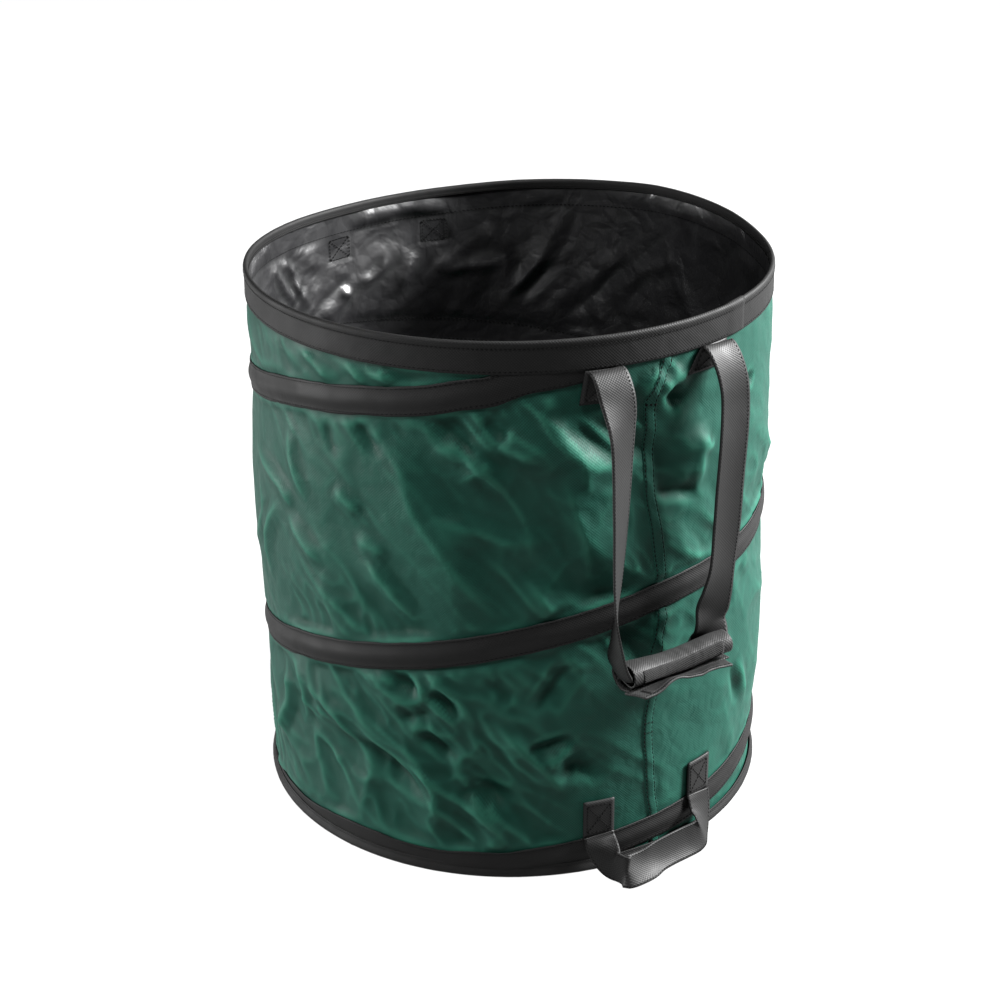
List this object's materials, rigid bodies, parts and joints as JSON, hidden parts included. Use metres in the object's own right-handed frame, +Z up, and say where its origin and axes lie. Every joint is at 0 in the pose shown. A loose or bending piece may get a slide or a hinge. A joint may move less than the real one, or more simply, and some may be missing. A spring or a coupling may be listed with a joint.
{
  "type": "pop up leaf bag",
  "caption": "Round sewn garden bag that a coiled spring wire holds open, with webbing handles at the rim and at the base; it presses flat.",
  "frame": {"origin": "middle of the floor panel's underside, on the ground", "axes": "+Z up; the long handle with the grip and the base handle face -Y; X runs along the grip"},
  "size_m": [0.4652, 0.5518, 0.494],
  "materials": {
    "green_oxford": "green polyester oxford cloth with a fine plain weave",
    "lining": "black coated sheet with a soft gloss",
    "black_tape": "black woven polyester tape, plain weave, stitched at both edges",
    "black_webbing": "black woven webbing with two stitched edges",
    "grip_cloth": "black oxford cloth, doubled and stitched",
    "hook_tape": "black hook tape",
    "loop_tape": "black loop tape",
    "spring_steel": "drawn spring steel wire",
    "ferrule_steel": "crimped steel ferrule"
  },
  "bodies": {
    "base": {"floor_panel": "lining", "base_binding": "black_tape", "base_ring_wire": "spring_steel", "base_ring_ferrule": "ferrule_steel", "wall": "green_oxford", "coil_casing": "black_tape", "coil_spring_wire": "spring_steel", "base_handle_end_left": "black_webbing", "base_handle_end_right": "black_webbing"},
    "rim": {"rim_binding": "black_tape", "rim_ring_wire": "spring_steel", "rim_ring_ferrule": "ferrule_steel", "front_handle_end_left": "black_webbing", "front_handle_end_right": "black_webbing", "back_handle_end_left": "black_webbing", "back_handle_end_right": "black_webbing"},
    "front_handle": {"front_handle_strap": "black_webbing", "grip_sleeve": "grip_cloth", "loop_tape": "loop_tape"},
    "grip_flap": {"grip_flap": "grip_cloth", "hook_tape": "hook_tape"},
    "back_handle": {"back_handle_strap": "black_webbing"},
    "base_handle": {"base_handle_strap": "black_webbing"}
  },
  "joints": [
    {"name": "collapse", "type": "slide", "parent": "base", "child": "rim", "axis": [0, 0, 1], "range_m": [-0.42, 0], "stiffness_N_per_m": 45, "springref_m": 0.25, "deforming": ["wall", "coil_casing", "coil_spring_wire", "base_handle_end_left", "base_handle_end_right", "base_handle_strap"]},
    {"name": "front_handle_swing", "type": "hinge", "parent": "rim", "child": "front_handle", "pos_m": [0, -0.2297, 0.4659], "axis": [-1, 0, 0], "range_deg": [0, 165]},
    {"name": "back_handle_swing", "type": "hinge", "parent": "rim", "child": "back_handle", "pos_m": [0, 0.2297, 0.4659], "axis": [1, 0, 0], "range_deg": [0, 165]},
    {"name": "base_handle_swing", "type": "hinge", "parent": "base", "child": "base_handle", "pos_m": [0, -0.22846, 0.0382], "axis": [-1, 0, 0], "range_deg": [0, 100]},
    {"name": "grip_flap_turn", "type": "hinge", "parent": "front_handle", "child": "grip_flap", "pos_m": [0, -0.26189, 0.1913], "axis": [-1, 0, 0], "range_deg": [-75, 62]}
  ]
}
